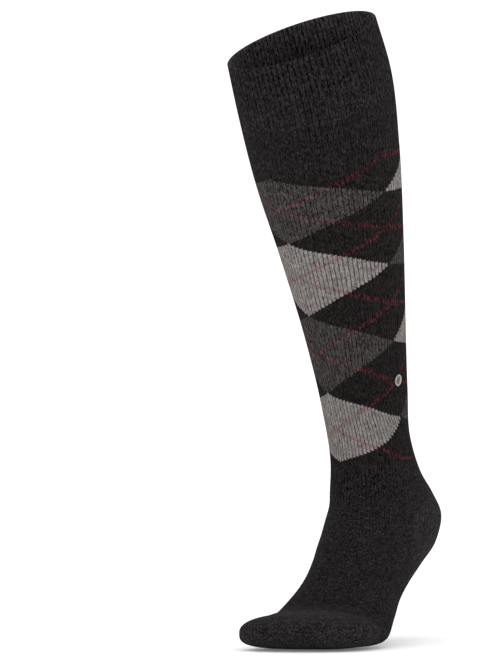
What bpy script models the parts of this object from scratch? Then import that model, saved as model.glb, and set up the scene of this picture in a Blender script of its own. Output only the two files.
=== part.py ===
"""A knee-high sock in fine wool knit, in the form it keeps on a lower leg with the heel raised.

It fits the left foot. Lengths are in metres and angles in degrees. +Z is up, the toes point along
-Y, and +X is the outer side of the leg. The origin is the middle of the opening for the leg.

The surface is a run of closed sections, like the rungs of a ladder between the front of the shin
and the calf, and from the ankle on between the top of the foot and its sole. Each piece is a
stretch of that run, given its wall with Solidify.
"""

from collections import namedtuple

import bpy
import numpy as np
from mathutils import Matrix, Vector

# The leg, from the middle of the ankle to the middle of the opening.
LEG_LENGTH = 0.337
LEG_LEAN = 18.0
LEG_SPLAY = -2.1
CALF_DEPTH = 0.124
CALF_WIDTH = 0.118
OPENING_TIP = 1.8
OPENING_ROLL = 7.6
OPENING_SLOPE_REACH = 0.170

# The foot, which stands on its ball and toes.
FOOT_LENGTH = 0.262
BALL_WIDTH = 0.098
INSTEP_HEIGHT = 0.072
HEEL_RISE = 22.0
HEEL_TO_BALL = 0.1834
HEEL_TO_ANKLE = 0.0563
ANKLE_HEIGHT = 0.108

# The cuff is a doubled band, so its wall is thicker. Each rib is one column of face stitches.
CUFF_HEIGHT = 0.055
CUFF_WALL = 0.0022
RIB_COUNT = 92
RIB_DEPTH = 0.0006

# Single knit, with a little more yarn in the heel and the toe.
LEG_WALL = 0.0016
FOOT_WALL = 0.0016
HEEL_WALL = 0.0018
TOE_WALL = 0.0018
SEAM_GAP = 0.0004

# The heel pocket lies behind and below its two side corners, seen along the sole from its back.
HEEL_CORNER_AHEAD = 0.078
HEEL_CORNER_HEIGHT = 0.060
HEEL_TOP_HEIGHT = 0.066
HEEL_SOLE_AHEAD = 0.086

# The toe cap starts at the roots of the toes and closes as a flattened dome.
TOE_CAP_LENGTH = 0.050
TOE_DOME_LENGTH = 0.035
TOE_TIP_HEIGHT = 0.014
TOE_END_SHARE = 0.998
DOME_POWER_HEIGHT = 2.2
DOME_POWER_WIDTH = 2.2

# The stud is riveted through the outer side of the leg.
STUD_DOWN = 0.278
STUD_TURN = 79.0
STUD_DIAMETER = 0.0092
STUD_HEIGHT = 0.0017
STUD_RIM = 0.0013
STUD_RECESS = 0.0007
STUD_EDGE = 0.0005
SHANK_DIAMETER = 0.0024
BACK_DIAMETER = 0.0066
BACK_THICKNESS = 0.0007
STUD_CLEARANCE = 0.0003

# How finely the surface is divided.
COLUMNS = 36
CUFF_ROWS = 5
LEG_ROWS = 19
FOOT_ROWS = 21
TOE_ROWS = 4
DOME_ROWS = 6
STUD_STEPS = 24
RING_SAMPLES = 720

# Sections of the leg. down is a share of the leg's length, depth and ahead of the calf's depth,
# width and out of the calf's width. ahead and out move the section off the leg's straight line.
LegSection = namedtuple("LegSection", "down depth width ahead out power")
LEG_SECTIONS = (
    LegSection(0.00, 1.000, 1.005, 0.008, 0.006, 2.00),
    LegSection(0.12, 1.010, 1.035, -0.010, 0.023, 2.00),
    LegSection(0.30, 0.980, 0.960, -0.030, 0.012, 2.00),
    LegSection(0.50, 0.850, 0.800, -0.035, 0.010, 2.05),
    LegSection(0.70, 0.710, 0.646, -0.022, 0.007, 2.10),
    LegSection(0.87, 0.634, 0.540, -0.007, -0.008, 2.15),
    LegSection(1.00, 0.628, 0.495, 0.016, -0.022, 2.20),
)

# Sections of the foot. The top and sole points are shares of the foot's length ahead of the heel
# and of the instep's height above the sole. width and out are shares of the ball's width, waist
# says how far up a section is widest, and skew how far its inner side runs ahead of its outer.
FootSection = namedtuple(
    "FootSection",
    "top_ahead top_height sole_ahead sole_height width waist top_power sole_power out skew",
)
RAISED_SECTIONS = (
    FootSection(0.413, 1.25, 0.060, 1.05, 0.655, 0.50, 2.20, 2.10, -0.010, 0.00),
    FootSection(0.436, 1.15, 0.008, 0.70, 0.690, 0.48, 2.20, 2.10, -0.014, 0.00),
    FootSection(0.470, 1.07, -0.020, 0.38, 0.735, 0.47, 2.20, 2.10, -0.018, 0.00),
    FootSection(0.508, 0.99, 0.030, 0.12, 0.725, 0.46, 2.15, 2.00, -0.028, 0.00),
    FootSection(0.538, 0.91, 0.150, 0.02, 0.695, 0.44, 2.10, 2.10, -0.043, 0.00),
    FootSection(0.568, 0.81, 0.300, 0.03, 0.715, 0.40, 2.00, 2.30, -0.032, 0.04),
    FootSection(0.610, 0.685, 0.450, 0.05, 0.775, 0.38, 1.98, 2.55, -0.008, 0.08),
    FootSection(0.655, 0.600, 0.580, 0.04, 0.875, 0.38, 1.90, 2.90, 0.012, 0.12),
)
FLAT_SECTIONS = (
    FootSection(0.755, 0.460, 0.715, 0.00, 0.975, 0.40, 2.00, 3.20, 0.014, 0.19),
    FootSection(0.800, 0.420, 0.785, 0.00, 0.985, 0.42, 2.10, 3.10, 0.014, 0.25),
    FootSection(0.835, 0.397, 0.828, 0.00, 0.980, 0.44, 2.25, 3.10, 0.018, 0.31),
    FootSection(0.860, 0.388, 0.860, 0.00, 0.965, 0.45, 2.40, 3.30, 0.022, 0.35),
)

MATERIALS = {
    "cuff": ((0.021, 0.019, 0.020), 0.95, 0.0),
    "leg": ((0.045, 0.043, 0.043), 0.95, 0.0),
    "foot": ((0.023, 0.021, 0.022), 0.95, 0.0),
    "heel": ((0.022, 0.020, 0.021), 0.95, 0.0),
    "toe": ((0.022, 0.020, 0.021), 0.95, 0.0),
    "side_stud": ((0.62, 0.60, 0.59), 0.30, 1.0),
}

# A section ready to draw: its front and back points, the direction across it, and its shape.
SECTION_FIELDS = slice(0, 3), slice(3, 6), slice(6, 9)
HALF_WIDTH, WAIST, FRONT_POWER, BACK_POWER, SKEW = 9, 10, 11, 12, 13


def tipped(ahead, height, degrees):
    """(ahead, height) turned about the ball so that what is high goes forward."""
    angle = np.radians(degrees)
    return (
        ahead * np.cos(angle) + height * np.sin(angle),
        -ahead * np.sin(angle) + height * np.cos(angle),
    )


def section(front, back, across, half_width, waist, front_power, back_power, skew):
    shape = (half_width, waist, front_power, back_power, skew)
    return np.concatenate([front, back, across, shape])


def leg_sections():
    """The leg's sections, with the ball of the foot at the origin, and the middle of the opening."""
    ahead, height = tipped(HEEL_TO_ANKLE - HEEL_TO_BALL, ANKLE_HEIGHT, HEEL_RISE)
    ankle = np.array([0.0, -ahead, height])
    slope = np.tan(np.radians([LEG_SPLAY, LEG_LEAN]))
    up = np.array([slope[0], -slope[1], 1.0])
    up /= np.linalg.norm(up)
    opening = ankle + up * LEG_LENGTH
    forward = np.array([0.0, -1.0, 0.0])
    forward -= up * (forward @ up)
    forward /= np.linalg.norm(forward)
    outward = np.cross(forward, up) * -1.0
    found = []
    for row in LEG_SECTIONS:
        middle = opening - up * row.down * LEG_LENGTH
        middle = middle + forward * row.ahead * CALF_DEPTH + outward * row.out * CALF_WIDTH
        fade = max(0.0, 1.0 - row.down * LEG_LENGTH / OPENING_SLOPE_REACH)
        tip, roll = np.radians([OPENING_TIP * fade, OPENING_ROLL * fade])
        along = forward * np.cos(tip) - up * np.sin(tip)
        across = outward * np.cos(roll) + up * np.sin(roll)
        reach = along * row.depth * CALF_DEPTH / 2
        half_width = row.width * CALF_WIDTH / 2
        found.append(
            section(middle + reach, middle - reach, across, half_width, 0.5, row.power, row.power, 0.0)
        )
    return found, opening


def foot_sections(rows, rise):
    found = []
    for row in rows:
        points = []
        for ahead, height in (
            (row.top_ahead, row.top_height),
            (row.sole_ahead, row.sole_height),
        ):
            placed = tipped(ahead * FOOT_LENGTH - HEEL_TO_BALL, height * INSTEP_HEIGHT, rise)
            points.append(np.array([row.out * BALL_WIDTH, -placed[0], placed[1]]))
        found.append(
            section(
                points[0],
                points[1],
                np.array([1.0, 0.0, 0.0]),
                row.width * BALL_WIDTH / 2,
                row.waist,
                row.top_power,
                row.sole_power,
                row.skew,
            )
        )
    return found


def whole_run():
    """Every section from the opening to the toes, and how far along the sock each one lies."""
    leg, opening = leg_sections()
    run = np.array(
        leg + foot_sections(RAISED_SECTIONS, HEEL_RISE) + foot_sections(FLAT_SECTIONS, 0.0)
    )
    run[:, 0:3] -= opening
    run[:, 3:6] -= opening
    middle = (run[:, 0:3] + run[:, 3:6]) / 2
    steps = [np.linalg.norm(np.diff(line, axis=0), axis=1) for line in (run[:, 0:3], middle, run[:, 3:6])]
    along = np.concatenate([[0.0], np.cumsum(sum(steps) / 3)])
    return run, along


def sections_between(run, along, start, end, count):
    """Sections at even distances, on a smooth curve through the run's own."""
    slope = np.gradient(run, along, axis=0)
    places = np.linspace(start, end, count)
    first = np.clip(np.searchsorted(along, places, side="right") - 1, 0, len(along) - 2)
    step = (along[first + 1] - along[first])[:, None]
    u = (places - along[first])[:, None] / step
    return (
        (2 * u**3 - 3 * u**2 + 1) * run[first]
        + (u**3 - 2 * u**2 + u) * step * slope[first]
        + (3 * u**2 - 2 * u**3) * run[first + 1]
        + (u**3 - u**2) * step * slope[first + 1]
    )


def ring(one, count):
    """count points around a section at even distances, from its front towards the outer side."""
    front, back, across = (one[field] for field in SECTION_FIELDS)
    across = across / np.linalg.norm(across)
    depth = np.linalg.norm(front - back)
    along = (front - back) / depth
    turn = np.linspace(0.0, 2 * np.pi, RING_SAMPLES + 1)
    cosine, sine = np.cos(turn), np.sin(turn)
    ahead = cosine > 0
    power = np.where(ahead, one[FRONT_POWER], one[BACK_POWER])
    reach = depth * np.where(ahead, 1 - one[WAIST], one[WAIST])
    v = np.sign(cosine) * np.abs(cosine) ** (2 / power) * reach
    u = np.sign(sine) * np.abs(sine) ** (2 / power) * one[HALF_WIDTH]
    points = back + along * depth * one[WAIST] + v[:, None] * along + u[:, None] * across
    points[:, 1] += one[SKEW] * u
    walked = np.concatenate([[0.0], np.cumsum(np.linalg.norm(np.diff(points, axis=0), axis=1))])
    at = np.arange(count) / count * walked[-1]
    return np.stack([np.interp(at, walked, points[:, axis]) for axis in range(3)], axis=1)


def toe_dome(last):
    """Sections that close the toe from the run's last one, each smaller and lower at its top."""
    tip_height = last[5] + TOE_TIP_HEIGHT
    found = []
    for step in range(1, DOME_ROWS + 1):
        share = np.sin(np.pi / 2 * step / DOME_ROWS) * TOE_END_SHARE
        height = (1 - share**DOME_POWER_HEIGHT) ** (1 / DOME_POWER_HEIGHT)
        width = (1 - share**DOME_POWER_WIDTH) ** (1 / DOME_POWER_WIDTH)
        one = last.copy()
        one[[1, 4]] -= share * TOE_DOME_LENGTH
        one[2] = tip_height + (last[2] - tip_height) * height
        one[5] = tip_height + (last[5] - tip_height) * height
        one[HALF_WIDTH] = last[HALF_WIDTH] * width
        found.append(one)
    return found


def loft(name, rings, collection, closed_end=False):
    """An open surface through the rings, facing outwards."""
    count = len(rings[0])
    points = [tuple(point) for one in rings for point in one]
    faces = []
    for row in range(len(rings) - 1):
        for column in range(count):
            beside = (column + 1) % count
            upper, lower = row * count, (row + 1) * count
            faces.append((upper + column, lower + column, lower + beside, upper + beside))
    if closed_end:
        last = (len(rings) - 1) * count
        faces.append(tuple(last + column for column in reversed(range(count))))
    mesh = bpy.data.meshes.new(name)
    mesh.from_pydata(points, [], faces)
    mesh.validate()
    mesh.shade_smooth()
    obj = bpy.data.objects.new(name, mesh)
    collection.objects.link(obj)
    return obj


def give_wall(obj, thickness):
    wall = obj.modifiers.new("wall", "SOLIDIFY")
    wall.thickness = thickness
    wall.offset = -1.0
    wall.use_rim = True
    wall.use_even_offset = True
    return wall


def cut(obj, cutter, operation):
    boolean = obj.modifiers.new(cutter.name, "BOOLEAN")
    boolean.operation = operation
    boolean.object = cutter
    boolean.solver = "EXACT"


def paint(obj):
    colour, roughness, metallic = MATERIALS[obj.name]
    material = bpy.data.materials.new(obj.name)
    material.use_nodes = True
    shader = material.node_tree.nodes["Principled BSDF"]
    shader.inputs["Base Color"].default_value = (*colour, 1.0)
    shader.inputs["Roughness"].default_value = roughness
    shader.inputs["Metallic"].default_value = metallic
    obj.data.materials.append(material)


def hide_cutter(obj):
    obj.hide_render = True
    obj.display_type = "WIRE"


def heel_wedge(name, opening_to_ball, shrink, collection):
    """The space that the heel pocket fills: a wedge across the foot with its edge at the corners.

    shrink moves its two inner sides back from the seam.
    """
    far = FOOT_LENGTH
    corner = Vector((HEEL_CORNER_AHEAD, HEEL_CORNER_HEIGHT))
    top = Vector((0.0, HEEL_TOP_HEIGHT)) - corner
    sole = Vector((HEEL_SOLE_AHEAD, 0.0)) - corner
    top.normalize()
    sole.normalize()
    middle = (top + sole).normalized()
    half_angle = top.angle(sole) / 2
    corner = corner + middle * shrink / np.sin(half_angle)
    outline = [corner, corner + top * far, corner + middle * 2 * far, corner + sole * far]
    points = []
    for side in (-far, far):
        for spot in outline:
            ahead, height = tipped(spot.x - HEEL_TO_BALL, spot.y, HEEL_RISE)
            points.append((side, -ahead - opening_to_ball[1], height - opening_to_ball[2]))
    faces = [(0, 1, 2, 3), (7, 6, 5, 4), (0, 4, 5, 1), (1, 5, 6, 2), (2, 6, 7, 3), (3, 7, 4, 0)]
    mesh = bpy.data.meshes.new(name)
    mesh.from_pydata(points, [], faces)
    obj = bpy.data.objects.new(name, mesh)
    collection.objects.link(obj)
    hide_cutter(obj)
    return obj


def surface_frame(run, along, down, turn):
    """A point of the leg's outside, and the directions out of it and down the leg there."""
    share = turn / 360.0
    rings = [ring(one, RING_SAMPLES) for one in sections_between(run, along, down - 0.004, down + 0.004, 3)]
    spot = int(round(share * RING_SAMPLES))
    beside = RING_SAMPLES // 100
    point = Vector(rings[1][spot])
    downward = (Vector(rings[2][spot]) - Vector(rings[0][spot])).normalized()
    around = (Vector(rings[1][spot + beside]) - Vector(rings[1][spot - beside])).normalized()
    outward = downward.cross(around).normalized()
    return point, outward, downward


def stud_profile():
    """Half the rivet, from the middle of its front to the middle of its back, in (radius, height).

    Height 0 is the outside of the knit.
    """
    radius = STUD_DIAMETER / 2
    seat = STUD_CLEARANCE
    face = seat + STUD_HEIGHT - STUD_RECESS
    crown = seat + STUD_HEIGHT
    shank = SHANK_DIAMETER / 2
    inside = -LEG_WALL - STUD_CLEARANCE
    return [
        (0.0, face),
        (radius - STUD_RIM - STUD_EDGE, face),
        (radius - STUD_RIM, crown - STUD_EDGE / 2),
        (radius - STUD_RIM + STUD_EDGE / 2, crown),
        (radius - STUD_EDGE, crown),
        (radius, crown - STUD_EDGE),
        (radius, seat),
        (shank, seat),
        (shank, inside),
        (BACK_DIAMETER / 2, inside),
        (BACK_DIAMETER / 2, inside - BACK_THICKNESS),
        (0.0, inside - BACK_THICKNESS),
    ]


def turned(name, profile, steps, collection):
    mesh = bpy.data.meshes.new(name)
    points = [(radius, 0.0, height) for radius, height in profile]
    mesh.from_pydata(points, [(i, i + 1) for i in range(len(points) - 1)], [])
    obj = bpy.data.objects.new(name, mesh)
    collection.objects.link(obj)
    screw = obj.modifiers.new("turn", "SCREW")
    screw.axis = "Z"
    screw.steps = steps
    screw.render_steps = steps
    screw.use_merge_vertices = True
    screw.merge_threshold = 0.00001
    return obj


for old in list(bpy.data.objects):
    bpy.data.objects.remove(old, do_unlink=True)
sock = bpy.data.collections.new("sock")
cutters = bpy.data.collections.new("cutters")
for made in (sock, cutters):
    bpy.context.scene.collection.children.link(made)

run, along = whole_run()
ball_from_opening = leg_sections()[1]
ankle_at = along[len(LEG_SECTIONS) - 1]
run_end = along[-1]
toe_at = run_end - (TOE_CAP_LENGTH - TOE_DOME_LENGTH)

# The cuff: ribs stand out from the wall by turns.
cuff_rings = []
for one in sections_between(run, along, 0.0, CUFF_HEIGHT, CUFF_ROWS):
    points = ring(one, 2 * RIB_COUNT)
    outward = points - points.mean(axis=0)
    outward /= np.linalg.norm(outward, axis=1)[:, None]
    points[1::2] -= outward[1::2] * RIB_DEPTH
    cuff_rings.append(points)
cuff = loft("cuff", cuff_rings, sock)
give_wall(cuff, CUFF_WALL)

# The leg tube, with a hole for the stud's shank.
leg_rings = [
    ring(one, COLUMNS)
    for one in sections_between(run, along, CUFF_HEIGHT + SEAM_GAP, ankle_at - SEAM_GAP, LEG_ROWS)
]
leg = loft("leg", leg_rings, sock)
give_wall(leg, LEG_WALL)
stud_point, stud_outward, stud_downward = surface_frame(run, along, STUD_DOWN, STUD_TURN)
stud_turn = Matrix((stud_downward, stud_outward.cross(stud_downward), stud_outward)).transposed()
stud_place = Matrix.Translation(stud_point) @ stud_turn.to_4x4()
shank_hole = turned(
    "shank_hole",
    [
        (0.0, 4 * LEG_WALL),
        (SHANK_DIAMETER / 2 + STUD_CLEARANCE, 4 * LEG_WALL),
        (SHANK_DIAMETER / 2 + STUD_CLEARANCE, -4 * LEG_WALL),
        (0.0, -4 * LEG_WALL),
    ],
    STUD_STEPS,
    cutters,
)
shank_hole.matrix_world = stud_place
hide_cutter(shank_hole)
cut(leg, shank_hole, "DIFFERENCE")

# The foot tube runs from the ankle to the toe cap, open behind where the heel pocket sits.
foot_rings = [
    ring(one, COLUMNS)
    for one in sections_between(run, along, ankle_at, toe_at - SEAM_GAP, FOOT_ROWS)
]
foot = loft("foot", foot_rings, sock)
give_wall(foot, FOOT_WALL)
heel_space = heel_wedge("heel_space", ball_from_opening, 0.0, cutters)
cut(foot, heel_space, "DIFFERENCE")

# The heel pocket is the same surface, kept inside the wedge.
heel = loft("heel", foot_rings, sock)
give_wall(heel, HEEL_WALL)
heel_keep = heel_wedge("heel_keep", ball_from_opening, SEAM_GAP, cutters)
cut(heel, heel_keep, "INTERSECT")

# The toe cap.
toe_rings = [ring(one, COLUMNS) for one in sections_between(run, along, toe_at, run_end, TOE_ROWS)]
toe_rings += [ring(one, COLUMNS) for one in toe_dome(run[-1])]
toe = loft("toe", toe_rings, sock, closed_end=True)
give_wall(toe, TOE_WALL)

# The stud: a raised rim round a plain face, a shank through the knit, and a flat back.
side_stud = turned("side_stud", stud_profile(), STUD_STEPS, sock)
side_stud.matrix_world = stud_place

for obj in (cuff, leg, foot, heel, toe, side_stud):
    paint(obj)
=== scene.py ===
from collections import namedtuple

import bmesh
import bpy
import numpy as np
from mathutils import Matrix, Vector


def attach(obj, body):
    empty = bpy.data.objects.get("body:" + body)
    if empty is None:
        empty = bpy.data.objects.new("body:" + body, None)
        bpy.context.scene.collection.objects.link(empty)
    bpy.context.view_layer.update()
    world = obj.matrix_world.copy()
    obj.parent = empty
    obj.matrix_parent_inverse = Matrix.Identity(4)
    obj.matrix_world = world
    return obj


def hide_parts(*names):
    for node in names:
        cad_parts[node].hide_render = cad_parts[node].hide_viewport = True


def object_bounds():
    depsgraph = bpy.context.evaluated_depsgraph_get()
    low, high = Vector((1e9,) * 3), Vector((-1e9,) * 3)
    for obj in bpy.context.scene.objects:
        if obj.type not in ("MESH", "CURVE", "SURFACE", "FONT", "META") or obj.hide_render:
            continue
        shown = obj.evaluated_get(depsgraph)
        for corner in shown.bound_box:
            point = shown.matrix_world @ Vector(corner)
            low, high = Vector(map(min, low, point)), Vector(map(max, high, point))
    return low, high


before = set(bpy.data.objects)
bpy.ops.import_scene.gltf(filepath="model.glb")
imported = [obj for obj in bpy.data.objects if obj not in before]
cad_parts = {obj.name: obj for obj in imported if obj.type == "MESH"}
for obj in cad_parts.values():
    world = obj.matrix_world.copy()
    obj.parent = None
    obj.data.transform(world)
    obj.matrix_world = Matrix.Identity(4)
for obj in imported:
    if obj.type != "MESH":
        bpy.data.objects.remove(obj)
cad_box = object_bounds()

for obj in bpy.context.selected_objects:
    obj.select_set(False)

# The view
#
# A long lens, level with the lower edge of the cuff and turned from the front towards the outer
# side of the leg. It looks a little down, to where the middle of the picture falls.

AZIMUTH = np.radians(27.0)
DISTANCE = 6.0
PICTURE_WIDTH = 500
PICTURE_HEIGHT = 663
PIXELS_PER_METRE = 1300.0
OPENING_PIXEL = (301.0, 39.5)
HORIZON_PIXEL = 106.0
SENSOR = 0.036

away = Vector((-np.sin(AZIMUTH), np.cos(AZIMUTH), 0.0))
rightward = Vector((np.cos(AZIMUTH), np.sin(AZIMUTH), 0.0))
eye = -away * DISTANCE
eye.z = (OPENING_PIXEL[1] - HORIZON_PIXEL) / PIXELS_PER_METRE
aim = rightward * (PICTURE_WIDTH / 2 - OPENING_PIXEL[0]) / PIXELS_PER_METRE
aim.z = (OPENING_PIXEL[1] - PICTURE_HEIGHT / 2) / PIXELS_PER_METRE
camera = bpy.data.objects.new("camera", bpy.data.cameras.new("camera"))
bpy.context.scene.collection.objects.link(camera)
camera.location = eye
camera.rotation_euler = (aim - eye).to_track_quat("-Z", "Y").to_euler()
camera.data.sensor_fit = "HORIZONTAL"
camera.data.sensor_width = 1000 * SENSOR
camera.data.lens = 1000 * SENSOR * PIXELS_PER_METRE * DISTANCE / PICTURE_WIDTH
camera.data.clip_end = 100.0
bpy.context.scene.camera = camera

# The cuff
#
# A turned and doubled band of elastic ribbing, knitted in one with the leg, in anthracite wool.
# Each rib is a column of face stitches between two columns that sink back.

LEG_LENGTH = 0.337
LEG_LEAN = 18.0
LEG_SPLAY = -2.1
CALF_DEPTH = 0.124
CALF_WIDTH = 0.118
OPENING_TIP = 1.8
OPENING_ROLL = 7.6
OPENING_SLOPE_REACH = 0.170
FOOT_LENGTH = 0.262
BALL_WIDTH = 0.098
INSTEP_HEIGHT = 0.072
HEEL_RISE = 22.0
HEEL_TO_BALL = 0.1834
HEEL_TO_ANKLE = 0.0563
ANKLE_HEIGHT = 0.108

LegSection = namedtuple("LegSection", "down depth width ahead out power")
LEG_SECTIONS = (
    LegSection(0.00, 1.000, 1.005, 0.008, 0.006, 2.00),
    LegSection(0.12, 1.010, 1.035, -0.010, 0.023, 2.00),
    LegSection(0.30, 0.980, 0.960, -0.030, 0.012, 2.00),
    LegSection(0.50, 0.850, 0.800, -0.035, 0.010, 2.05),
    LegSection(0.70, 0.710, 0.646, -0.022, 0.007, 2.10),
    LegSection(0.87, 0.634, 0.540, -0.007, -0.008, 2.15),
    LegSection(1.00, 0.628, 0.495, 0.016, -0.022, 2.20),
)
FootSection = namedtuple(
    "FootSection",
    "top_ahead top_height sole_ahead sole_height width waist top_power sole_power out skew",
)
RAISED_SECTIONS = (
    FootSection(0.413, 1.25, 0.060, 1.05, 0.655, 0.50, 2.20, 2.10, -0.010, 0.00),
    FootSection(0.436, 1.15, 0.008, 0.70, 0.690, 0.48, 2.20, 2.10, -0.014, 0.00),
    FootSection(0.470, 1.07, -0.020, 0.38, 0.735, 0.47, 2.20, 2.10, -0.018, 0.00),
    FootSection(0.508, 0.99, 0.030, 0.12, 0.725, 0.46, 2.15, 2.00, -0.028, 0.00),
    FootSection(0.538, 0.91, 0.150, 0.02, 0.695, 0.44, 2.10, 2.10, -0.043, 0.00),
    FootSection(0.568, 0.81, 0.300, 0.03, 0.715, 0.40, 2.00, 2.30, -0.032, 0.04),
    FootSection(0.610, 0.685, 0.450, 0.05, 0.775, 0.38, 1.98, 2.55, -0.008, 0.08),
    FootSection(0.655, 0.600, 0.580, 0.04, 0.875, 0.38, 1.90, 2.90, 0.012, 0.12),
)
FLAT_SECTIONS = (
    FootSection(0.755, 0.460, 0.715, 0.00, 0.975, 0.40, 2.00, 3.20, 0.014, 0.19),
    FootSection(0.800, 0.420, 0.785, 0.00, 0.985, 0.42, 2.10, 3.10, 0.014, 0.25),
    FootSection(0.835, 0.397, 0.828, 0.00, 0.980, 0.44, 2.25, 3.10, 0.018, 0.31),
    FootSection(0.860, 0.388, 0.860, 0.00, 0.965, 0.45, 2.40, 3.30, 0.022, 0.35),
)
HALF_WIDTH, WAIST, FRONT_POWER, BACK_POWER, SKEW = 9, 10, 11, 12, 13
RING_SAMPLES = 1440


def tipped(ahead, height, degrees):
    """(ahead, height) turned about the ball so that what is high goes forward."""
    angle = np.radians(degrees)
    return (
        ahead * np.cos(angle) + height * np.sin(angle),
        -ahead * np.sin(angle) + height * np.cos(angle),
    )


def leg_sections():
    ahead, height = tipped(HEEL_TO_ANKLE - HEEL_TO_BALL, ANKLE_HEIGHT, HEEL_RISE)
    ankle = np.array([0.0, -ahead, height])
    slope = np.tan(np.radians([LEG_SPLAY, LEG_LEAN]))
    up = np.array([slope[0], -slope[1], 1.0])
    up /= np.linalg.norm(up)
    opening = ankle + up * LEG_LENGTH
    forward = np.array([0.0, -1.0, 0.0])
    forward -= up * (forward @ up)
    forward /= np.linalg.norm(forward)
    outward = np.cross(up, forward)
    found = []
    for row in LEG_SECTIONS:
        middle = opening - up * row.down * LEG_LENGTH
        middle = middle + forward * row.ahead * CALF_DEPTH + outward * row.out * CALF_WIDTH
        fade = max(0.0, 1.0 - row.down * LEG_LENGTH / OPENING_SLOPE_REACH)
        tip, roll = np.radians([OPENING_TIP * fade, OPENING_ROLL * fade])
        along = forward * np.cos(tip) - up * np.sin(tip)
        across = outward * np.cos(roll) + up * np.sin(roll)
        reach = along * row.depth * CALF_DEPTH / 2
        shape = (row.width * CALF_WIDTH / 2, 0.5, row.power, row.power, 0.0)
        found.append(np.concatenate([middle + reach, middle - reach, across, shape]))
    return found, opening


def foot_sections(rows, rise):
    found = []
    for row in rows:
        points = []
        for ahead, height in (
            (row.top_ahead, row.top_height),
            (row.sole_ahead, row.sole_height),
        ):
            placed = tipped(ahead * FOOT_LENGTH - HEEL_TO_BALL, height * INSTEP_HEIGHT, rise)
            points.append((row.out * BALL_WIDTH, -placed[0], placed[1]))
        shape = (row.width * BALL_WIDTH / 2, row.waist, row.top_power, row.sole_power, row.skew)
        found.append(np.concatenate([*points, (1.0, 0.0, 0.0), shape]))
    return found


leg, opening = leg_sections()
run = np.array(leg + foot_sections(RAISED_SECTIONS, HEEL_RISE) + foot_sections(FLAT_SECTIONS, 0.0))
run[:, 0:3] -= opening
run[:, 3:6] -= opening
lines = (run[:, 0:3], (run[:, 0:3] + run[:, 3:6]) / 2, run[:, 3:6])
steps = sum(np.linalg.norm(np.diff(line, axis=0), axis=1) for line in lines) / 3
along = np.concatenate([[0.0], np.cumsum(steps)])
ankle_at = along[len(LEG_SECTIONS) - 1]
run_end = along[-1]


def sections_at(places):
    """Sections at these distances down the sock, on a smooth curve through the run's own."""
    slope = np.gradient(run, along, axis=0)
    first = np.clip(np.searchsorted(along, places, side="right") - 1, 0, len(along) - 2)
    step = (along[first + 1] - along[first])[:, None]
    u = (places - along[first])[:, None] / step
    return (
        (2 * u**3 - 3 * u**2 + 1) * run[first]
        + (u**3 - 2 * u**2 + u) * step * slope[first]
        + (3 * u**2 - 2 * u**3) * run[first + 1]
        + (u**3 - u**2) * step * slope[first + 1]
    )


RIBS = 92
# The rib that runs down the middle of the front diamonds.
FRONT_RIB = -4.5
# The knit is stretched a little more over the outer front of the leg than elsewhere, and its
# columns drift towards the outer side at the ankle.
STRETCH = 0.0116
STRETCH_TURN = 27.4 / 360
DRIFT_PLACES = (0.265, 0.310)
DRIFT = 0.0155
# There the heel also pulls them round, not in front but at the sides and most behind.
HEEL_PULL_PLACES = (0.300, 0.335, 0.420)
HEEL_PULL = (0.0, 0.100, 0.0)
FRONT_TURN = -0.045
# How many courses lie between the top of the cuff and these distances down the front of the sock.
COURSE_PLACES = (
    0.0, 0.093, 0.1214, 0.1500, 0.1793, 0.2119, 0.2428, 0.2771, 0.3064, 0.3190, 0.3265, 0.3325,
)
COURSES = (0.0, 72.0, 95.0, 118.0, 141.0, 164.0, 187.0, 210.0, 233.0, 242.5, 249.5, 256.0)
FOOT_COURSE = 0.00125
# How much lower a course lies at the sides than in front, and how much higher halfway.
DIP_PLACES = (0.0, 0.093, 0.290, 0.309, 0.325, 0.340, 0.400)
SIDE_DIP = (0.0, 0.0022, 0.0022, 0.0033, 0.0094, 0.0160, 0.0)
HALFWAY_RISE = (0.0, 0.0025, 0.0025, 0.0010, 0.0006, 0.0010, 0.0)


def rib_at(turns, place):
    """The ribs at these shares of the way round, at a place down the sock."""
    drift = np.interp(place, DRIFT_PLACES, (0.0, DRIFT))
    pull = np.interp(place, HEEL_PULL_PLACES, HEEL_PULL)
    drift = drift + pull * (1 - np.cos(2 * np.pi * (turns - FRONT_TURN))) / 2
    return RIBS * (turns - STRETCH * np.sin(2 * np.pi * (turns - STRETCH_TURN)) - drift)


def column_turns(place, ribs):
    """Where these columns are at a place down the sock, as shares of the way round."""
    turns = np.linspace(-0.5, 1.5, RING_SAMPLES)
    return np.interp(ribs, rib_at(turns, place), turns) % 1.0


def courses(places, ribs):
    """The course that each column has reached at each place."""
    panel = 2 * np.pi * (ribs - FRONT_RIB)[None, :] / RIBS
    low, high = (np.interp(places, DIP_PLACES, dip)[:, None] for dip in (SIDE_DIP, HALFWAY_RISE))
    level = places[:, None] - low * (1 - np.cos(2 * panel)) / 2 + high * np.sin(2 * panel) ** 2
    beyond = np.maximum(level - COURSE_PLACES[-1], 0.0) / FOOT_COURSE
    return np.interp(level, COURSE_PLACES, COURSES) + beyond


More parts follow.
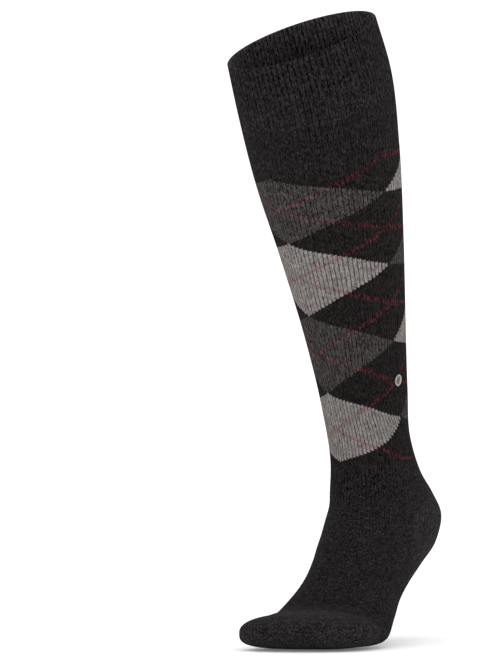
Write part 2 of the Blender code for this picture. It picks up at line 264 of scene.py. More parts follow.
def ring(one, place, ribs):
    """Points round a section where these columns are, from its front towards the outer side."""
    front, back, across = one[0:3], one[3:6], one[6:9] / np.linalg.norm(one[6:9])
    depth = np.linalg.norm(front - back)
    ahead = (front - back) / depth
    turn = np.linspace(0.0, 2 * np.pi, RING_SAMPLES + 1)
    cosine, sine = np.cos(turn), np.sin(turn)
    power = np.where(cosine > 0, one[FRONT_POWER], one[BACK_POWER])
    reach = depth * np.where(cosine > 0, 1 - one[WAIST], one[WAIST])
    v = np.sign(cosine) * np.abs(cosine) ** (2 / power) * reach
    u = np.sign(sine) * np.abs(sine) ** (2 / power) * one[HALF_WIDTH]
    points = back + ahead * depth * one[WAIST] + v[:, None] * ahead + u[:, None] * across
    points[:, 1] += one[SKEW] * u
    walked = np.concatenate([[0.0], np.cumsum(np.linalg.norm(np.diff(points, axis=0), axis=1))])
    at = column_turns(place, ribs) * walked[-1]
    return np.stack([np.interp(at, walked, points[:, axis]) for axis in range(3)], axis=1)


def surface(sections, places, ribs):
    """The sections as one grid of points, and the direction out of the sock at each."""
    grid = np.array([ring(one, place, ribs) for one, place in zip(sections, places)])
    down = np.gradient(grid, axis=0)
    around = np.roll(grid, -1, axis=1) - np.roll(grid, 1, axis=1)
    out = np.cross(down, around)
    return grid, out / np.linalg.norm(out, axis=2, keepdims=True)


def tube(name, grid, ribs, course):
    """A tube through the grid, with a knit map that counts ribs round it and courses down it."""
    rows, columns = grid.shape[:2]
    row, column = np.meshgrid(np.arange(rows - 1), np.arange(columns), indexing="ij")
    beside = (column + 1) % columns
    corners = ((row, column), (row + 1, column), (row + 1, beside), (row, beside))
    faces = np.stack([one * columns + other for one, other in corners], axis=2).reshape(-1, 4)
    counted = np.append(ribs, RIBS)
    places = np.stack(
        [
            np.stack([counted[side], course[one, other]], axis=2)
            for (one, other), side in zip(corners, (column, column, column + 1, column + 1))
        ],
        axis=2,
    )
    mesh = bpy.data.meshes.new(name)
    mesh.from_pydata(grid.reshape(-1, 3).tolist(), [], faces.tolist())
    mesh.uv_layers.new(name="knit").data.foreach_set("uv", places.astype(np.float32).ravel())
    made = bpy.data.objects.new(name, mesh)
    bpy.context.scene.collection.objects.link(made)
    return made


RIB_BREADTH = 1.15
GROOVE_POWER = 1.3
SMOOTH_ANGLE = 55.0
MERGE_DISTANCE = 0.00001


def rib_shape(ribs):
    """How far the knit sinks back, from 0 on the middle of a rib to 1 between two."""
    raised = np.clip(RIB_BREADTH * np.sin(np.pi * (ribs % 1.0)), 0.0, 1.0)
    return (1 - raised) ** GROOVE_POWER


def none_selected():
    bpy.ops.object.select_all(action="DESELECT")


def active(obj):
    none_selected()
    obj.select_set(True)
    bpy.context.view_layer.objects.active = obj


def smooth(obj):
    active(obj)
    bpy.ops.object.shade_smooth_by_angle(angle=np.radians(SMOOTH_ANGLE))


def joined(obj, *others):
    """The objects as one mesh, with the points that meet made one."""
    active(obj)
    for one in others:
        one.select_set(True)
    if others:
        bpy.ops.object.join()
    shape = bmesh.new()
    shape.from_mesh(obj.data)
    bmesh.ops.remove_doubles(shape, verts=shape.verts, dist=MERGE_DISTANCE)
    shape.to_mesh(obj.data)
    shape.free()
    smooth(obj)
    return obj


class Yarn:
    """A value in a material. Arithmetic on it adds Math nodes."""

    def __init__(self, tree, socket):
        self.tree = tree
        self.socket = socket

    def node(self, kind, settings=None, sockets=None, out=0):
        made = self.tree.nodes.new(kind)
        for key, value in (settings or {}).items():
            setattr(made, key, value)
        for key, value in (sockets or {}).items():
            if isinstance(value, Yarn):
                self.tree.links.new(value.socket, made.inputs[key])
            else:
                made.inputs[key].default_value = value
        return Yarn(self.tree, made.outputs[out])

    def math(self, operation, *values):
        return self.node("ShaderNodeMath", {"operation": operation}, dict(enumerate(values)))

    def __add__(self, other):
        return self.math("ADD", self, other)

    __radd__ = __add__

    def __sub__(self, other):
        return self.math("SUBTRACT", self, other)

    def __rsub__(self, other):
        return self.math("SUBTRACT", other, self)

    def __mul__(self, other):
        return self.math("MULTIPLY", self, other)

    __rmul__ = __mul__

    def __truediv__(self, other):
        return self.math("DIVIDE", self, other)

    def __mod__(self, other):
        return self.math("FLOORED_MODULO", self, other)

    def __abs__(self):
        return self.math("ABSOLUTE", self)

    def __lt__(self, other):
        return self.math("LESS_THAN", self, other)

    def __gt__(self, other):
        return self.math("GREATER_THAN", self, other)

    def floor(self):
        return self.math("FLOOR", self)

    def step(self, low, high):
        """0 below low and 1 above high, with a smooth change between them."""
        return self.node(
            "ShaderNodeMapRange",
            {"interpolation_type": "SMOOTHSTEP"},
            {"Value": self, "From Min": low, "From Max": high, "To Min": 0.0, "To Max": 1.0},
        )

    def blend(self, low, high):
        """The colour low where this is 0, and high where it is 1."""
        return self.node(
            "ShaderNodeMix", {"data_type": "RGBA"}, {0: self, 6: low, 7: high}, out=2
        )

    def colour(self, value):
        made = self.node("ShaderNodeRGB")
        made.socket.default_value = value
        return made

    def scaled(self, factor):
        return self.node(
            "ShaderNodeVectorMath", {"operation": "SCALE"}, {0: self, "Scale": factor}
        )

    def place(self):
        """The point itself, in metres."""
        return self.node("ShaderNodeTexCoord", out=3)

    def spots(self, scale, detail, roughness):
        """Noise at this place, with about this many spots per unit of length."""
        return self.node(
            "ShaderNodeTexNoise",
            {"noise_dimensions": "3D"},
            {"Vector": self, "Scale": scale, "Detail": detail, "Roughness": roughness},
        )

    def feed(self, shader, socket):
        self.tree.links.new(self.socket, shader.inputs[socket])


def new_material(obj, name):
    material = bpy.data.materials.new(name)
    material.use_nodes = True
    obj.data.materials.clear()
    obj.data.materials.append(material)
    tree = material.node_tree
    return Yarn(tree, None), tree.nodes["Principled BSDF"]


ANTHRACITE = (0.0148, 0.0130, 0.0133, 1.0)
FLECK = (0.085, 0.081, 0.078, 1.0)
SHEEN = 0.012
SHEEN_ROUGHNESS = 0.4
SHEEN_TINT = (0.80, 0.78, 0.77, 1.0)
WOOL_ROUGHNESS = 0.92
WOOL_GLOSS = 0.02
# How far each side of a stitch rises from its middle, in courses.
STITCH_LEAN = 0.9
# The mixed wool: streaks along the columns, wide clumps and single fibres. The streaks and clumps
# are noise on the knit map, with this many spots per turn (over 2 pi) and per course.
STREAK_ROUND, STREAK_DOWN, STREAK_TONE = 58.0, 0.5, 6.2
STREAK_NOISE = (3.0, 0.65)
CLUMP_ROUND, CLUMP_DOWN, CLUMP_TONE = 9.0, 0.27, 1.8
CLUMP_NOISE = (2.0, 0.5)
FIBRE_SCALE, FIBRE_TONE = 1100.0, 2.4
FIBRE_NOISE = (2.0, 0.6)
DARKEST_TONE = 0.25
# The two strands of a stitch lie this share of its width off its middle, and fade over these
# ranges to their sides and their ends.
STRAND_OFF = 0.22
STRAND_SIDE = (0.05, 0.24)
STRAND_END, STRAND_END_LOSS = (0.3, 0.5), 0.6
# How much paler the strands are painted and how much darker the knit between them, as painted
# shade between the strands.
STRAND_SHADE = 0.5
# The streaks that are pale enough to hide a gap between two ribs.
HIDING_STREAK = (0.42, 0.60)
ROUGHNESS_SPREAD = 0.12
GROOVE_RELIEF, STREAK_RELIEF, FIBRE_RELIEF = 0.8, 0.9, 0.3
FLECK_RANGE = (0.57, 0.70)
FLECK_SHARE = 0.55


class Knit:
    """The values that every knitted material is made from, read from the piece's knit map."""

    def __init__(self, obj, name, wales_per_rib=1):
        self.yarn, self.shader = new_material(obj, name)
        yarn = self.yarn
        place = yarn.node("ShaderNodeUVMap", {"uv_map": "knit"})
        self.u = yarn.node("ShaderNodeSeparateXYZ", None, {0: place})
        self.v = Yarn(yarn.tree, self.u.socket.node.outputs[1])
        self.rib = self.u.floor()
        self.off_rib = abs(self.u - self.rib - 0.5)
        wale = self.u * wales_per_rib
        off = abs(wale - wale.floor() - 0.5)
        lifted = self.v + off * STITCH_LEAN
        self.course = lifted.floor()
        through = lifted - self.course
        turn = self.u * (2 * np.pi / RIBS)
        self.around = (turn.math("COSINE", turn), turn.math("SINE", turn))
        self.streak = self.noise(STREAK_ROUND, STREAK_DOWN, STREAK_NOISE)
        self.clump = self.noise(CLUMP_ROUND, CLUMP_DOWN, CLUMP_NOISE)
        self.fibre = yarn.place().spots(FIBRE_SCALE, *FIBRE_NOISE)
        # How far a point stands out on the two strands of its stitch, from 0 to 1. It sinks the
        # knit between them, and paints shade there.
        strand = 1 - abs(off - STRAND_OFF).step(*STRAND_SIDE)
        self.strand = strand * (1 - abs(through - 0.5).step(*STRAND_END) * STRAND_END_LOSS)

    def noise(self, round_it, down, kind):
        """Noise on the knit map, the same on both sides of its seam."""
        cosine, sine = self.around
        place = self.yarn.node(
            "ShaderNodeCombineXYZ",
            None,
            {0: cosine * round_it, 1: sine * round_it, 2: self.v * down},
        )
        return place.spots(1.0, *kind)

    def between(self, width, broken):
        """1 between two ribs and 0 on them, with this share broken off where stitches hide it."""
        hidden = broken * self.streak.step(*HIDING_STREAK)
        return self.off_rib.step(0.5 - width, 0.5) * (1 - hidden)

    def finish(self, colour, shaded_groove, heather, strand_relief, depth):
        """The knit in this colour: the groove mask sinks it and darkens it with painted shade
        between the ribs, heather mixes its wool and scales the painted shade between its strands.
        """
        yarn, shader = self.yarn, self.shader
        # The wool's own mix, together with the painted shade between the strands.
        mixed = (
            (self.streak - 0.5) * STREAK_TONE
            + (self.clump - 0.5) * CLUMP_TONE
            + (self.fibre - 0.5) * FIBRE_TONE
            + (self.strand - 0.5) * STRAND_SHADE
        )
        tone = 1 + mixed * heather
        # The painted shade in the gaps between the ribs darkens the colour here.
        lit = colour.scaled(tone.math("MAXIMUM", tone, DARKEST_TONE) * (1 - shaded_groove))
        fleck = ((self.fibre + self.streak) * 0.5).step(*FLECK_RANGE) * (heather * FLECK_SHARE)
        fleck.blend(lit, FLECK).feed(shader, "Base Color")
        rough = WOOL_ROUGHNESS + (self.fibre - 0.5) * ROUGHNESS_SPREAD
        rough.feed(shader, "Roughness")
        shader.inputs["Specular IOR Level"].default_value = WOOL_GLOSS
        shader.inputs["Sheen Weight"].default_value = SHEEN
        shader.inputs["Sheen Roughness"].default_value = SHEEN_ROUGHNESS
        shader.inputs["Sheen Tint"].default_value = SHEEN_TINT
        relief = (
            self.strand * strand_relief
            - shaded_groove * GROOVE_RELIEF
            + self.streak * STREAK_RELIEF
            + self.fibre * FIBRE_RELIEF
        )
        bump = yarn.node(
            "ShaderNodeBump", None, {"Strength": 1.0, "Distance": depth, "Height": relief}
        )
        bump.feed(shader, "Normal")


CUFF_HEIGHT = 0.055
CUFF_WALL = 0.0022
PIECE_GAP = 0.00005
COLUMNS_PER_RIB = 6
CUFF_RIB_RELIEF = 0.00055
LEG_RIB_RELIEF = 0.00028
CUFF_ROWS = 22
EDGE_ROWS = 5
# The knit that faces the leg is painted paler, as painted light that falls in through the opening,
# fading out as painted shade down to this many courses. The edge itself, which is the course here
# and those as near to it as the range says, gets a little painted light too.
INSIDE_LIGHT, INSIDE_LIGHT_COURSES = 3.3, 38.0
EDGE_LIGHT, EDGE_COURSE, EDGE_RANGE = 1.05, 1.5, (3.0, 1.0)
# The gaps between the ribs, which get painted shade: half their width as a share of a rib, how
# much of them is broken off, how much painted shade they get low down, how much more near the
# edge, and the courses between.
CUFF_GAP_WIDTH, CUFF_GAP_BROKEN = 0.28, 0.7
CUFF_GAP_SHADE, CUFF_GAP_MORE_SHADE, CUFF_GAP_RANGE = 0.28, 0.62, (42.0, 14.0)
CUFF_STRAND_RELIEF, CUFF_BUMP = 0.5, 0.0004

ribs = np.arange(RIBS * COLUMNS_PER_RIB) / COLUMNS_PER_RIB
bend = np.linspace(0.0, np.pi / 2, EDGE_ROWS + 1)
edge = CUFF_WALL / 2
straight = np.linspace(edge, CUFF_HEIGHT - PIECE_GAP, CUFF_ROWS + 1)[1:]
places = np.concatenate([edge * (1 - np.cos(bend)), straight])
inset = np.concatenate([edge * (1 - np.sin(bend)), np.zeros(CUFF_ROWS)])
grid, out = surface(sections_at(places), places, ribs)
depth = np.interp(places, (0.0, edge, CUFF_HEIGHT), (0.0, CUFF_RIB_RELIEF, LEG_RIB_RELIEF))
sunk = inset[:, None] + depth[:, None] * rib_shape(ribs)
outer = grid - out * sunk[..., None]
inner = grid - out * (CUFF_WALL - sunk)[..., None]
course = courses(places, ribs)
loop = np.concatenate([inner[:0:-1], outer, inner[-1:]])
# The courses count on over the edge, so they are below 0 on the side that faces the leg.
loop_course = np.concatenate([-course[:0:-1], course, -course[-1:]])
cuff = joined(tube("cuff_knit", loop, ribs, loop_course))
knit = Knit(cuff, "cuff_rib")
# Painted light on the inside of the cuff, fading out deeper in, and on its edge.
lit_inside = (knit.v < 0.0) * knit.v.step(-INSIDE_LIGHT_COURSES, 0.0)
lit_edge = abs(knit.v - EDGE_COURSE).step(*EDGE_RANGE)
shade = 1 + lit_inside * (INSIDE_LIGHT - 1) + lit_edge * (EDGE_LIGHT - 1)
ground = knit.yarn.colour(ANTHRACITE).scaled(shade)
# Painted shade in the gaps between the ribs, more of it near the edge; the same mask sinks them.
gap_shade = CUFF_GAP_SHADE + CUFF_GAP_MORE_SHADE * knit.v.step(*CUFF_GAP_RANGE)
shaded_groove = knit.between(CUFF_GAP_WIDTH, CUFF_GAP_BROKEN) * gap_shade
knit.finish(ground, shaded_groove, 1.0, CUFF_STRAND_RELIEF, CUFF_BUMP)
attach(cuff, "root")
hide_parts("cuff")

# The leg
#
# A tube of the same wool with the pattern knitted in: two columns of large grey diamonds, front
# and back, dark lozenges between them at the sides, and thin dark red lines that cross in both.
# Each stitch has one colour, so every slanting edge goes in steps.

LEG_WALL = 0.0016
LEG_ROWS = 96
LINING_STEP = 4
DIAMOND_RIBS = 46
DIAMOND_COURSES = 46
DIAMOND_ROWS = 4
PATTERN_TOP = 72
CALF_GREY = (0.0128, 0.0113, 0.0116, 1.0)
MEDIUM_GREY = (0.0435, 0.0385, 0.0375, 1.0)
LIGHT_GREY = (0.200, 0.182, 0.174, 1.0)
DARK_YARN = (0.0114, 0.0100, 0.0098, 1.0)
RED_ON_DARK = (0.080, 0.012, 0.018, 1.0)
RED_ON_MEDIUM = (0.105, 0.037, 0.042, 1.0)
RED_ON_LIGHT = (0.170, 0.068, 0.072, 1.0)
# How much of the red shows in the course of a line itself, and in those above and below it, and
# how far from the line each of them reaches, in courses.
RED_SHARE, RED_BESIDE = 0.90, 0.20
LINE_REACH, BESIDE_REACH = 0.75, 1.75
# The red thread shows as loops on the ribs, which streaks and clumps of wool hide in part.
LOOP_EDGE = (0.46, 0.16)
LOOP_STREAK, LEAST_STREAK = (0.40, 0.56), 0.15
LOOP_CLUMP, LEAST_CLUMP = (0.38, 0.56), 0.4
LEG_GAP_WIDTH, LEG_GAP_BROKEN, PALE_GAP_WHOLE = 0.26, 0.7, 0.4
LEG_GAP_SHADE, DIAMOND_GAP_MORE_SHADE = 0.20, 0.50
LEG_HEATHER, PALE_HEATHER_LESS = 0.85, 0.30
LEG_STRAND_RELIEF, LEG_BUMP = 0.6, 0.0004

places = np.linspace(CUFF_HEIGHT, ankle_at - PIECE_GAP, LEG_ROWS)
grid, out = surface(sections_at(places), places, ribs)
outer = grid - out * (LEG_RIB_RELIEF * rib_shape(ribs))[None, :, None]
course = courses(places, ribs)
leg_knit = tube("leg_knit", outer, ribs, course)
lining_rows = np.r_[LEG_ROWS - 1:0:-LINING_STEP, 0]
loop = np.concatenate([outer[-1:], (grid - out * LEG_WALL)[lining_rows], outer[:1]])
loop_course = np.concatenate([course[-1:], course[lining_rows], course[:1]])
leg_knit = joined(leg_knit, tube("leg_lining", loop, ribs, loop_course))


def pattern(knit):
    """The colour of each stitch, where the diamonds are, and where the pale ones are."""
    across = (knit.rib + (0.5 - FRONT_RIB + DIAMOND_RIBS / 2)) / DIAMOND_RIBS
    downwards = (knit.course + (0.5 - PATTERN_TOP)) / DIAMOND_COURSES
    panel, band = across.floor(), downwards.floor()
    from_middle = abs((across - panel - 0.5) * DIAMOND_RIBS)
    from_centre = abs((downwards - band - 0.5) * DIAMOND_COURSES)
    in_pattern = (downwards > 0.0) * (downwards < DIAMOND_ROWS)
    in_diamond = in_pattern * (from_middle + from_centre < DIAMOND_RIBS / 2)
    in_pale = in_diamond * ((panel + band) % 2 > 0.5)
    off_line = abs(from_middle - from_centre)
    loop = knit.off_rib.step(*LOOP_EDGE)
    loop = loop * (LEAST_STREAK + (1 - LEAST_STREAK) * knit.streak.step(*LOOP_STREAK))
    loop = loop * (LEAST_CLUMP + (1 - LEAST_CLUMP) * knit.clump.step(*LOOP_CLUMP))
    beside = (off_line < BESIDE_REACH) * knit.streak.step(*HIDING_STREAK)
    on_line = (off_line < LINE_REACH) * loop * (RED_SHARE - RED_BESIDE) + beside * RED_BESIDE
    ground = in_pattern.blend(CALF_GREY, DARK_YARN)
    ground = in_diamond.blend(ground, in_pale.blend(MEDIUM_GREY, LIGHT_GREY))
    red = in_diamond.blend(RED_ON_DARK, in_pale.blend(RED_ON_MEDIUM, RED_ON_LIGHT))
    return (in_pattern * on_line).blend(ground, red), in_diamond, in_pale


knit = Knit(leg_knit, "leg_pattern")
ground, in_diamond, in_pale = pattern(knit)
# Painted shade in the gaps between the ribs, more of it in the diamonds; the same mask sinks them.
shaded_groove = knit.between(LEG_GAP_WIDTH, LEG_GAP_BROKEN - PALE_GAP_WHOLE * in_pale)
shaded_groove = shaded_groove * (LEG_GAP_SHADE + DIAMOND_GAP_MORE_SHADE * in_diamond)
heather = LEG_HEATHER - PALE_HEATHER_LESS * in_pale
knit.finish(ground, shaded_groove, heather, LEG_STRAND_RELIEF, LEG_BUMP)
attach(leg_knit, "root")
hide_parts("leg")

# The foot
#
# A plain tube over the instep and the sole in finer stocking stitch, with the same number of
# columns. The ribs of the leg fade out over the first few centimetres, where the lowest red line
# also ends at the sides.

FOOT_WALL = 0.0016
FOOT_ROWS = 78
FOOT_COLUMNS_PER_RIB = 4
RIB_FADE = 0.040
TOE_CAP_LENGTH = 0.050
TOE_DOME_LENGTH = 0.035
HEEL_CORNER_AHEAD = 0.078
HEEL_CORNER_HEIGHT = 0.060
HEEL_TOP_HEIGHT = 0.066
HEEL_SOLE_AHEAD = 0.086
# The gaps between the ribs go on in the material as painted shade, darker near the leg, up to
# these courses.
PLAIN_GAP_SHADE, PLAIN_GAP_MORE_SHADE, PLAIN_GAP_RANGE = 0.08, 0.74, (330.0, 262.0)
PLAIN_HEATHER = 1.1
PLAIN_STRAND_RELIEF, PLAIN_BUMP = 0.3, 0.0003

toe_at = run_end - (TOE_CAP_LENGTH - TOE_DOME_LENGTH)
places = np.linspace(ankle_at, toe_at - PIECE_GAP, FOOT_ROWS)
foot_ribs = np.arange(RIBS * FOOT_COLUMNS_PER_RIB) / FOOT_COLUMNS_PER_RIB
foot_grid, out = surface(sections_at(places), places, foot_ribs)
fade = LEG_RIB_RELIEF * np.clip(1 - (places - ankle_at) / RIB_FADE, 0.0, 1.0)
foot_grid = foot_grid - out * (fade[:, None] * rib_shape(foot_ribs))[..., None]
foot_course = courses(places, foot_ribs)


def heel_planes(gap):
    """The two seams of the heel pocket as planes: a point on each, and the direction into the
    pocket."""
    spots = []
    for ahead, height in (
        (HEEL_CORNER_AHEAD, HEEL_CORNER_HEIGHT),
        (0.0, HEEL_TOP_HEIGHT),
        (HEEL_SOLE_AHEAD, 0.0),
    ):
        placed = tipped(ahead - HEEL_TO_BALL, height, HEEL_RISE)
        spots.append(Vector((0.0, -placed[0], placed[1])) - Vector(opening))
    corner, top, sole = spots
    found = []
    for end, other in ((top, sole), (sole, top)):
        into = Vector((1.0, 0.0, 0.0)).cross(end - corner).normalized()
        if into.dot(other - corner) < 0:
            into.negate()
        point = corner + into * gap
        point.x = 0.0
        found.append((point, into))
    return found


def cut_at_heel(obj, planes, keep_pocket):
    """Cuts along both seams, and keeps what is inside the pocket or what is outside it."""
    shape = bmesh.new()
    shape.from_mesh(obj.data)
    for point, into in planes:
        parts = shape.verts[:] + shape.edges[:] + shape.faces[:]
        bmesh.ops.bisect_plane(
            shape, geom=parts, plane_co=point, plane_no=into, dist=MERGE_DISTANCE
        )
    dropped = []
    for one in shape.faces:
        middle = one.calc_center_median()
        inside = all((middle - point).dot(into) > 0 for point, into in planes)
        if inside != keep_pocket:
            dropped.append(one)
    bmesh.ops.delete(shape, geom=dropped, context="FACES")
    shape.to_mesh(obj.data)
    shape.free()


def give_wall(obj, thickness):
    active(obj)
    wall = obj.modifiers.new("wall", "SOLIDIFY")
    wall.thickness = thickness
    wall.offset = -1.0
    bpy.ops.object.modifier_apply(modifier=wall.name)
    smooth(obj)


def plain_knit(knit, colour):
    # Painted shade in the gaps between the ribs, more of it near the leg; the same mask sinks
    # them.
    gap_shade = PLAIN_GAP_SHADE + PLAIN_GAP_MORE_SHADE * knit.v.step(*PLAIN_GAP_RANGE)
    shaded_groove = knit.between(LEG_GAP_WIDTH, LEG_GAP_BROKEN) * gap_shade
    knit.finish(colour, shaded_groove, PLAIN_HEATHER, PLAIN_STRAND_RELIEF, PLAIN_BUMP)


foot_knit = tube("foot_knit", foot_grid, foot_ribs, foot_course)
cut_at_heel(foot_knit, heel_planes(0.0), False)
give_wall(foot_knit, FOOT_WALL)
knit = Knit(foot_knit, "foot_plain_knit", 2)
plain_knit(knit, pattern(knit)[0])
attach(foot_knit, "root")
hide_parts("foot")

# The heel
#
# The pocket that holds the heel, knitted back and forth between its two corners in a slightly
# heavier mix of the same wool, and coloured a little paler than the foot.

HEEL_WALL = 0.0018
HEEL_GREY = (0.0176, 0.0157, 0.0159, 1.0)

heel_knit = tube("heel_knit", foot_grid, foot_ribs, foot_course)
cut_at_heel(heel_knit, heel_planes(PIECE_GAP), True)
give_wall(heel_knit, HEEL_WALL)
knit = Knit(heel_knit, "heel_plain_knit", 2)
plain_knit(knit, knit.yarn.colour(HEEL_GREY))
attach(heel_knit, "root")
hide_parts("heel")

# The toe
#
# The closed cap over the toes, in the same plain knit as the foot. Its columns run straight over
# the top to the tip.

TOE_WALL = 0.0018
TOE_ROWS = 14
DOME_ROWS = 30
TOE_TIP_HEIGHT = 0.014
TOE_END_SHARE = 0.998
DOME_POWER = 2.2
# The toe is painted paler than the foot, as painted light bounced up from the floor.
TOE_LIT_GREY = (0.0187, 0.0167, 0.0168, 1.0)
# Streaks per metre across the toes, and along them and down.
TOE_STREAK_SCALE = (1250.0, 600.0, 600.0)

sections = list(sections_at(np.linspace(toe_at, run_end, TOE_ROWS)))
last = run[-1]
tip_height = last[5] + TOE_TIP_HEIGHT
for step in range(1, DOME_ROWS + 1):
    share = np.sin(np.pi / 2 * step / DOME_ROWS) * TOE_END_SHARE
    left = (1 - share**DOME_POWER) ** (1 / DOME_POWER)
    one = last.copy()
    one[[1, 4]] -= share * TOE_DOME_LENGTH
    one[2] = tip_height + (last[2] - tip_height) * left
    one[5] = tip_height + (last[5] - tip_height) * left
    one[HALF_WIDTH] = last[HALF_WIDTH] * left
    sections.append(one)
grid, out = surface(sections, np.full(len(sections), toe_at), foot_ribs)
walked = np.linalg.norm(np.diff(grid, axis=0), axis=2).mean(axis=1)
toe_course = courses(np.array([toe_at]), foot_ribs)
toe_course = toe_course + np.concatenate([[0.0], np.cumsum(walked)])[:, None] / FOOT_COURSE
toe_knit = tube("toe_knit", grid, foot_ribs, toe_course)
active(toe_knit)
bpy.ops.object.mode_set(mode="EDIT")
bpy.ops.mesh.select_mode(type="VERT")
bpy.ops.mesh.select_all(action="DESELECT")
bpy.ops.object.mode_set(mode="OBJECT")
for point in toe_knit.data.vertices[-len(foot_ribs):]:
    point.select = True
bpy.ops.object.mode_set(mode="EDIT")
bpy.ops.mesh.edge_face_add()
bpy.ops.object.mode_set(mode="OBJECT")
give_wall(toe_knit, TOE_WALL)
knit = Knit(toe_knit, "toe_plain_knit", 2)
stretched = knit.yarn.node(
    "ShaderNodeVectorMath",
    {"operation": "MULTIPLY"},
    {0: knit.yarn.place(), 1: TOE_STREAK_SCALE},
)
knit.streak = stretched.spots(1.0, *STREAK_NOISE)
plain_knit(knit, knit.yarn.colour(TOE_LIT_GREY))
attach(toe_knit, "root")
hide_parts("toe")

# The side stud
#
# A small pressed metal rivet with a raised polished rim and a plain sunk face, closed over a
# washer behind the knit. It sits where two red lines cross on the outer side.

STUD_DOWN = 0.278
STUD_TURN = 79.0
STUD_DIAMETER = 0.0092
STUD_HEIGHT = 0.0017
STUD_RIM = 0.0013
STUD_RECESS = 0.0007
STUD_EDGE = 0.0005
SHANK_DIAMETER = 0.0024
BACK_DIAMETER = 0.0066
BACK_THICKNESS = 0.0007
STUD_CLEARANCE = 0.0003
STUD_SIDES = 64
BACK_SIDES = 48
BEVEL_ANGLE = 50.0
STUD_SMOOTH_ANGLE = 40.0
# A face counts as turned up or down when its normal's height is at least this.
FLAT_NORMAL = 0.9
FACE_STEEL = (0.10, 0.095, 0.090, 1.0)
DARK_STEEL = (0.23, 0.215, 0.205, 1.0)
PALE_STEEL = (0.36, 0.34, 0.325, 1.0)
STEEL_RANGE = (0.3, 0.7)
SCRATCH_SCALE, SCRATCH_NOISE = 2500.0, (4.0, 0.6)
BLOTCH_SCALE, BLOTCH_NOISE = 500.0, (2.0, 0.5)
STEEL_ROUGHNESS, STEEL_ROUGHNESS_SPREAD = 0.20, 0.22
# How far outside and inside the rim's inner edge the tone of the face begins and is full.
FACE_BEGINS, FACE_FULL = 0.0002, 0.0003

# How far above and below its middle the knit is measured, to lay the stud flat on it.
STUD_STEP = 0.004
STUD_SPREAD = np.array([-1.0, 0.0, 1.0])

stud_ribs = rib_at(STUD_TURN / 360, STUD_DOWN) + STUD_SPREAD
rows = [
    ring(one, STUD_DOWN, stud_ribs) for one in sections_at(STUD_DOWN + STUD_STEP * STUD_SPREAD)
]
stud_point = Vector(rows[1][1])
stud_down = (Vector(rows[2][1]) - Vector(rows[0][1])).normalized()
stud_side = Vector(rows[1][2]) - Vector(rows[1][0])
stud_out = stud_down.cross(stud_side).normalized()
stud_turn = Matrix((stud_down, stud_out.cross(stud_down), stud_out)).transposed()
stud_place = Matrix.Translation(stud_point) @ stud_turn.to_4x4()

none_selected()
bpy.ops.mesh.primitive_cylinder_add(
    vertices=STUD_SIDES,
    radius=STUD_DIAMETER / 2,
    depth=STUD_HEIGHT,
    location=(0.0, 0.0, STUD_CLEARANCE + STUD_HEIGHT / 2),
)
stud = bpy.context.object
stud.name = "stud"
bpy.ops.object.transform_apply(location=True, rotation=True, scale=True)
bpy.ops.object.mode_set(mode="EDIT")
bpy.ops.mesh.select_all(action="DESELECT")
shape = bmesh.from_edit_mesh(stud.data)
for one in shape.faces:
    one.select = one.normal.z > FLAT_NORMAL
bmesh.update_edit_mesh(stud.data)
bpy.ops.mesh.inset(thickness=STUD_RIM)
bpy.ops.mesh.inset(thickness=STUD_EDGE / 2)
bpy.ops.transform.translate(value=(0.0, 0.0, -STUD_RECESS))
bpy.ops.mesh.inset(thickness=STUD_EDGE)
shape = bmesh.from_edit_mesh(stud.data)
for one in shape.faces:
    one.select = one.normal.z < -FLAT_NORMAL
bmesh.update_edit_mesh(stud.data)
bpy.ops.mesh.inset(thickness=STUD_DIAMETER / 2 - SHANK_DIAMETER / 2)
bpy.ops.mesh.extrude_region_move(
    TRANSFORM_OT_translate={"value": (0.0, 0.0, -LEG_WALL - 2 * STUD_CLEARANCE)}
)
bpy.ops.object.mode_set(mode="OBJECT")
bevel = stud.modifiers.new("edge", "BEVEL")
bevel.width = STUD_EDGE / 2
bevel.segments = 3
bevel.limit_method = "ANGLE"
bevel.angle_limit = np.radians(BEVEL_ANGLE)
bpy.ops.object.modifier_apply(modifier=bevel.name)
none_selected()
bpy.ops.mesh.primitive_cylinder_add(
    vertices=BACK_SIDES,
    radius=BACK_DIAMETER / 2,
    depth=BACK_THICKNESS,
    location=(0.0, 0.0, -LEG_WALL - STUD_CLEARANCE - BACK_THICKNESS / 2),
)
washer = bpy.context.object
bpy.ops.object.transform_apply(location=True, rotation=True, scale=True)
bevel = washer.modifiers.new("edge", "BEVEL")
bevel.width = BACK_THICKNESS / 4
bevel.segments = 2
bevel.limit_method = "ANGLE"
bpy.ops.object.modifier_apply(modifier=bevel.name)
none_selected()
washer.select_set(True)
stud.select_set(True)
bpy.context.view_layer.objects.active = stud
bpy.ops.object.join()
bpy.ops.object.shade_smooth_by_angle(angle=np.radians(STUD_SMOOTH_ANGLE))
stud.data.transform(stud_place)
yarn, shader = new_material(stud, "stud_steel")
place = yarn.place()
scratches = place.spots(SCRATCH_SCALE, *SCRATCH_NOISE)
blotches = place.spots(BLOTCH_SCALE, *BLOTCH_NOISE)
from_middle = yarn.node(
    "ShaderNodeVectorMath", {"operation": "DISTANCE"}, {0: place, 1: tuple(stud_point)}, out=1
)
face_radius = STUD_DIAMETER / 2 - STUD_RIM
on_face = from_middle.step(face_radius + FACE_BEGINS, face_radius - FACE_FULL)
steel = blotches.step(*STEEL_RANGE).blend(DARK_STEEL, PALE_STEEL)
on_face.blend(steel, FACE_STEEL).feed(shader, "Base Color")
(STEEL_ROUGHNESS + scratches * STEEL_ROUGHNESS_SPREAD).feed(shader, "Roughness")
shader.inputs["Metallic"].default_value = 1.0
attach(stud, "root")
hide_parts("side_stud")

# The studio
#
# A pale floor under the ball of the foot, which glows a little, white all round, and two large
# soft lamps.

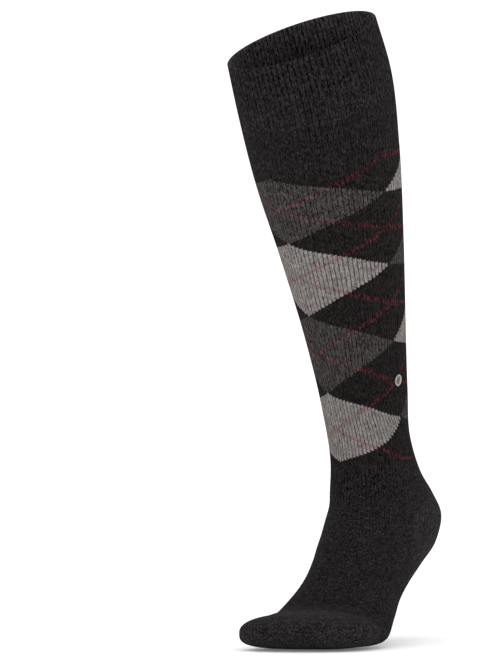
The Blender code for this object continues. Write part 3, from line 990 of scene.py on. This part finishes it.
FLOOR_SIZE = 60.0
FLOOR_GAP = 0.0002
DARK_FLOOR = (0.94, 0.94, 0.94, 1.0)
PALE_FLOOR = (0.97, 0.97, 0.97, 1.0)
MOTTLE_SCALE, MOTTLE_NOISE = 3.0, (2.0, 0.5)
FLOOR_ROUGHNESS = 0.9
FLOOR_GLOSS = 0.1
FLOOR_GLOW = 0.12
WHITE = (1.0, 1.0, 1.0, 1.0)
WORLD_STRENGTH = 1.18
LAMP_AZIMUTHS = {"left_softbox": -22.0, "right_softbox": 78.0}
LAMP_ELEVATION = 24.0
LAMP_DISTANCE = 2.4
LAMP_SIZE = 1.4
LAMP_WATTS = 3.5
LAMP_TARGET = Vector((0.0, 0.05, -0.22))

none_selected()
floor_height = cad_box[0][2] - FLOOR_GAP
bpy.ops.mesh.primitive_plane_add(size=FLOOR_SIZE, location=(0.0, 0.0, floor_height))
floor = bpy.context.object
floor.name = "floor"
yarn, shader = new_material(floor, "pale_floor")
mottle = yarn.place().spots(MOTTLE_SCALE, *MOTTLE_NOISE)
mottle.blend(DARK_FLOOR, PALE_FLOOR).feed(shader, "Base Color")
shader.inputs["Roughness"].default_value = FLOOR_ROUGHNESS
shader.inputs["Specular IOR Level"].default_value = FLOOR_GLOSS
shader.inputs["Emission Color"].default_value = WHITE
shader.inputs["Emission Strength"].default_value = FLOOR_GLOW

world = bpy.data.worlds.new("studio")
bpy.context.scene.world = world
world.use_nodes = True
background = world.node_tree.nodes["Background"]
background.inputs["Color"].default_value = WHITE
background.inputs["Strength"].default_value = WORLD_STRENGTH

for name, azimuth in LAMP_AZIMUTHS.items():
    light = bpy.data.lights.new(name, "AREA")
    light.shape = "RECTANGLE"
    light.size = light.size_y = LAMP_SIZE
    light.energy = LAMP_WATTS
    obj = bpy.data.objects.new(name, light)
    bpy.context.scene.collection.objects.link(obj)
    turn, lift = np.radians([azimuth, LAMP_ELEVATION])
    direction = Vector((np.sin(turn) * np.cos(lift), -np.cos(turn) * np.cos(lift), np.sin(lift)))
    obj.location = LAMP_TARGET + direction * LAMP_DISTANCE
    obj.rotation_euler = (-direction).to_track_quat("-Z", "Y").to_euler()

bpy.context.scene.view_settings.view_transform = "Standard"
